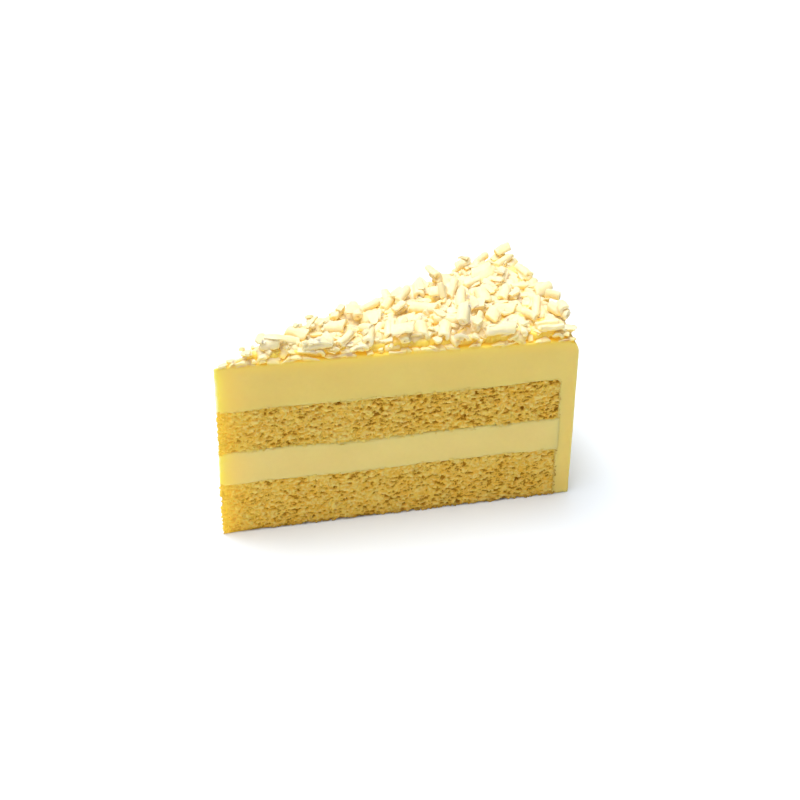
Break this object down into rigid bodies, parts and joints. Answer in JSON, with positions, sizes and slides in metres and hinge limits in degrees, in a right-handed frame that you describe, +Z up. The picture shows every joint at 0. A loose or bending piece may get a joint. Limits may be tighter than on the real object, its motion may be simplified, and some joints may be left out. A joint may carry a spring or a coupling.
{
  "type": "cheesecake slice",
  "caption": "Wedge of layered cream cheesecake: golden sponges, cream filling, a cream coat over top and outer side, and white chocolate curls on top.",
  "frame": {"origin": "on the surface it rests on, under the middle of the overall box", "axes": "+X from the tip to the outer side along the middle of the wedge, +Z up"},
  "size_m": [0.12, 0.0534, 0.0786],
  "materials": {
    "sponge": "matte open crumb",
    "filling": "soft satin cream",
    "coat": "soft satin cream",
    "white_chocolate": "satin"
  },
  "bodies": {
    "root": {"base_sponge": "sponge", "filling_cream": "filling", "upper_sponge": "sponge", "cream_coat": "coat", "shavings_bed": "white_chocolate", "curl_01": "white_chocolate", "curl_02": "white_chocolate", "curl_03": "white_chocolate", "curl_04": "white_chocolate", "curl_05": "white_chocolate", "curl_06": "white_chocolate", "curl_07": "white_chocolate", "curl_08": "white_chocolate", "curl_09": "white_chocolate", "curl_10": "white_chocolate", "curl_11": "white_chocolate", "curl_12": "white_chocolate", "curl_13": "white_chocolate", "curl_14": "white_chocolate", "curl_15": "white_chocolate", "curl_16": "white_chocolate", "curl_17": "white_chocolate", "curl_18": "white_chocolate", "curl_19": "white_chocolate", "curl_20": "white_chocolate", "curl_21": "white_chocolate", "curl_22": "white_chocolate", "curl_23": "white_chocolate", "curl_24": "white_chocolate", "curl_25": "white_chocolate", "curl_26": "white_chocolate", "curl_27": "white_chocolate", "curl_28": "white_chocolate", "curl_29": "white_chocolate", "curl_30": "white_chocolate", "curl_31": "white_chocolate", "curl_32": "white_chocolate", "curl_33": "white_chocolate", "curl_34": "white_chocolate", "curl_35": "white_chocolate", "curl_36": "white_chocolate", "curl_37": "white_chocolate", "curl_38": "white_chocolate", "curl_39": "white_chocolate", "curl_40": "white_chocolate", "curl_41": "white_chocolate", "curl_42": "white_chocolate", "curl_43": "white_chocolate", "curl_44": "white_chocolate", "curl_45": "white_chocolate", "curl_46": "white_chocolate", "curl_47": "white_chocolate", "curl_48": "white_chocolate", "curl_49": "white_chocolate", "curl_50": "white_chocolate", "curl_51": "white_chocolate", "curl_52": "white_chocolate", "curl_53": "white_chocolate", "curl_54": "white_chocolate"}
  },
  "joints": []
}
